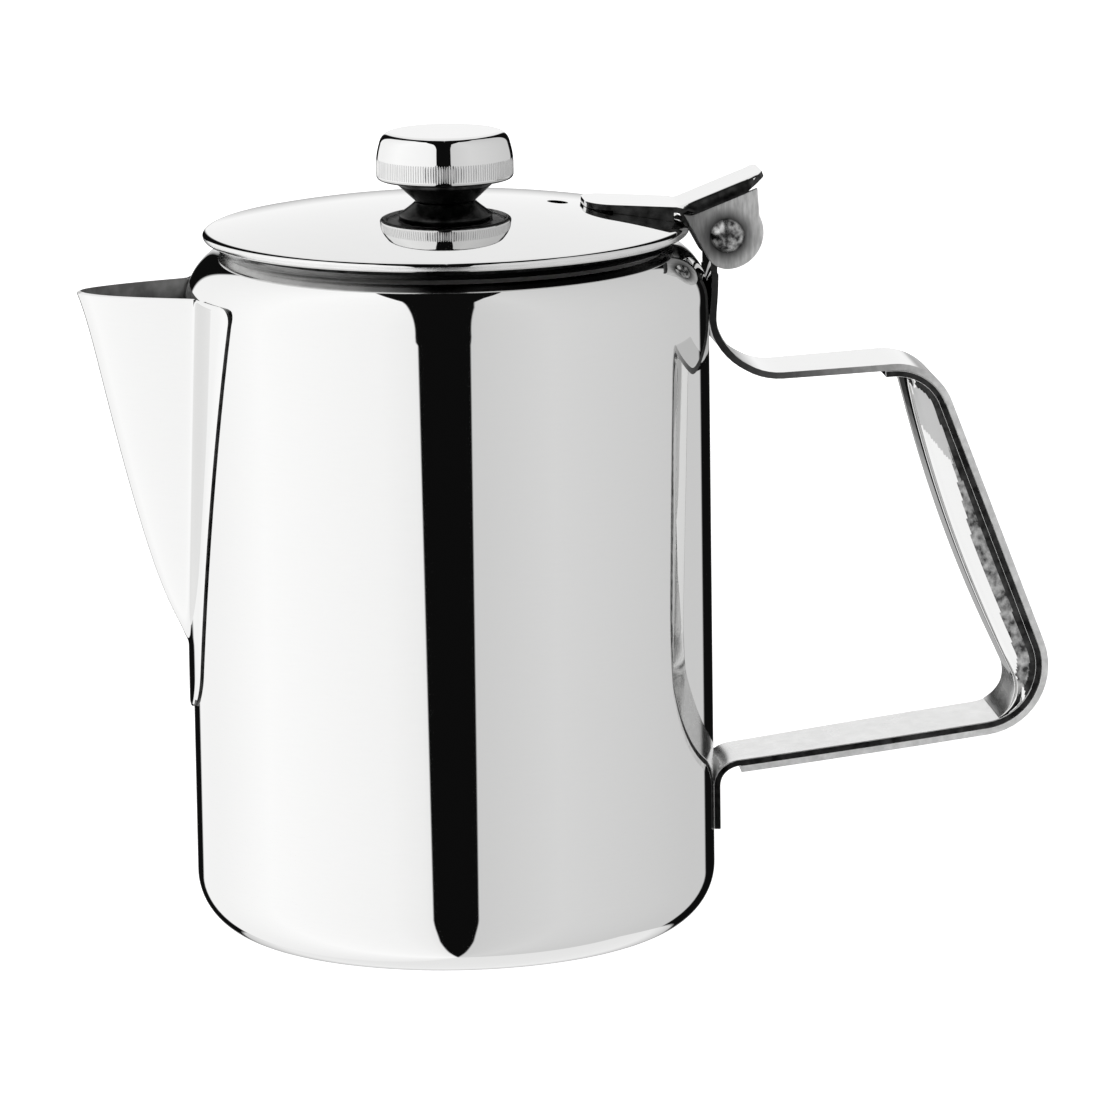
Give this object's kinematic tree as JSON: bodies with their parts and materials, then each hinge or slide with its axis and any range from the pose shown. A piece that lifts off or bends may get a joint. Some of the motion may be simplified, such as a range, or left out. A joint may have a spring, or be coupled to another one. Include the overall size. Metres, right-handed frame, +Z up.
{
  "type": "coffee pot",
  "caption": "Straight-sided polished steel coffee pot with a triangular pouring spout, a hinged domed lid with a knob and thumb lift, and a hollow-grip strap handle.",
  "frame": {"origin": "centre of the flat base, on the surface the pot stands on", "axes": "+Z up along the body's axis, +X towards the handle and the lid hinge, -X towards the spout"},
  "size_m": [0.1854, 0.1, 0.1543],
  "materials": {
    "polished_steel": "mirror-polished stainless sheet",
    "satin_steel": "plain stainless with fine scratches"
  },
  "bodies": {
    "pot": {"body_shell": "polished_steel", "spout": "polished_steel", "handle_outer_strap": "polished_steel", "handle_inner_strap": "polished_steel"},
    "lid": {"lid_shell": "polished_steel", "lid_collar": "satin_steel", "hinge_leaf": "polished_steel", "hinge_pin": "satin_steel", "knob_cap": "polished_steel", "knob_base": "polished_steel", "knob_screw": "satin_steel", "knob_washer": "satin_steel"}
  },
  "joints": [
    {"name": "lid_hinge", "type": "hinge", "parent": "pot", "child": "lid", "pos_m": [0.05308, 0, 0.13368], "axis": [0, 1, 0], "range_deg": [0, 100]}
  ]
}
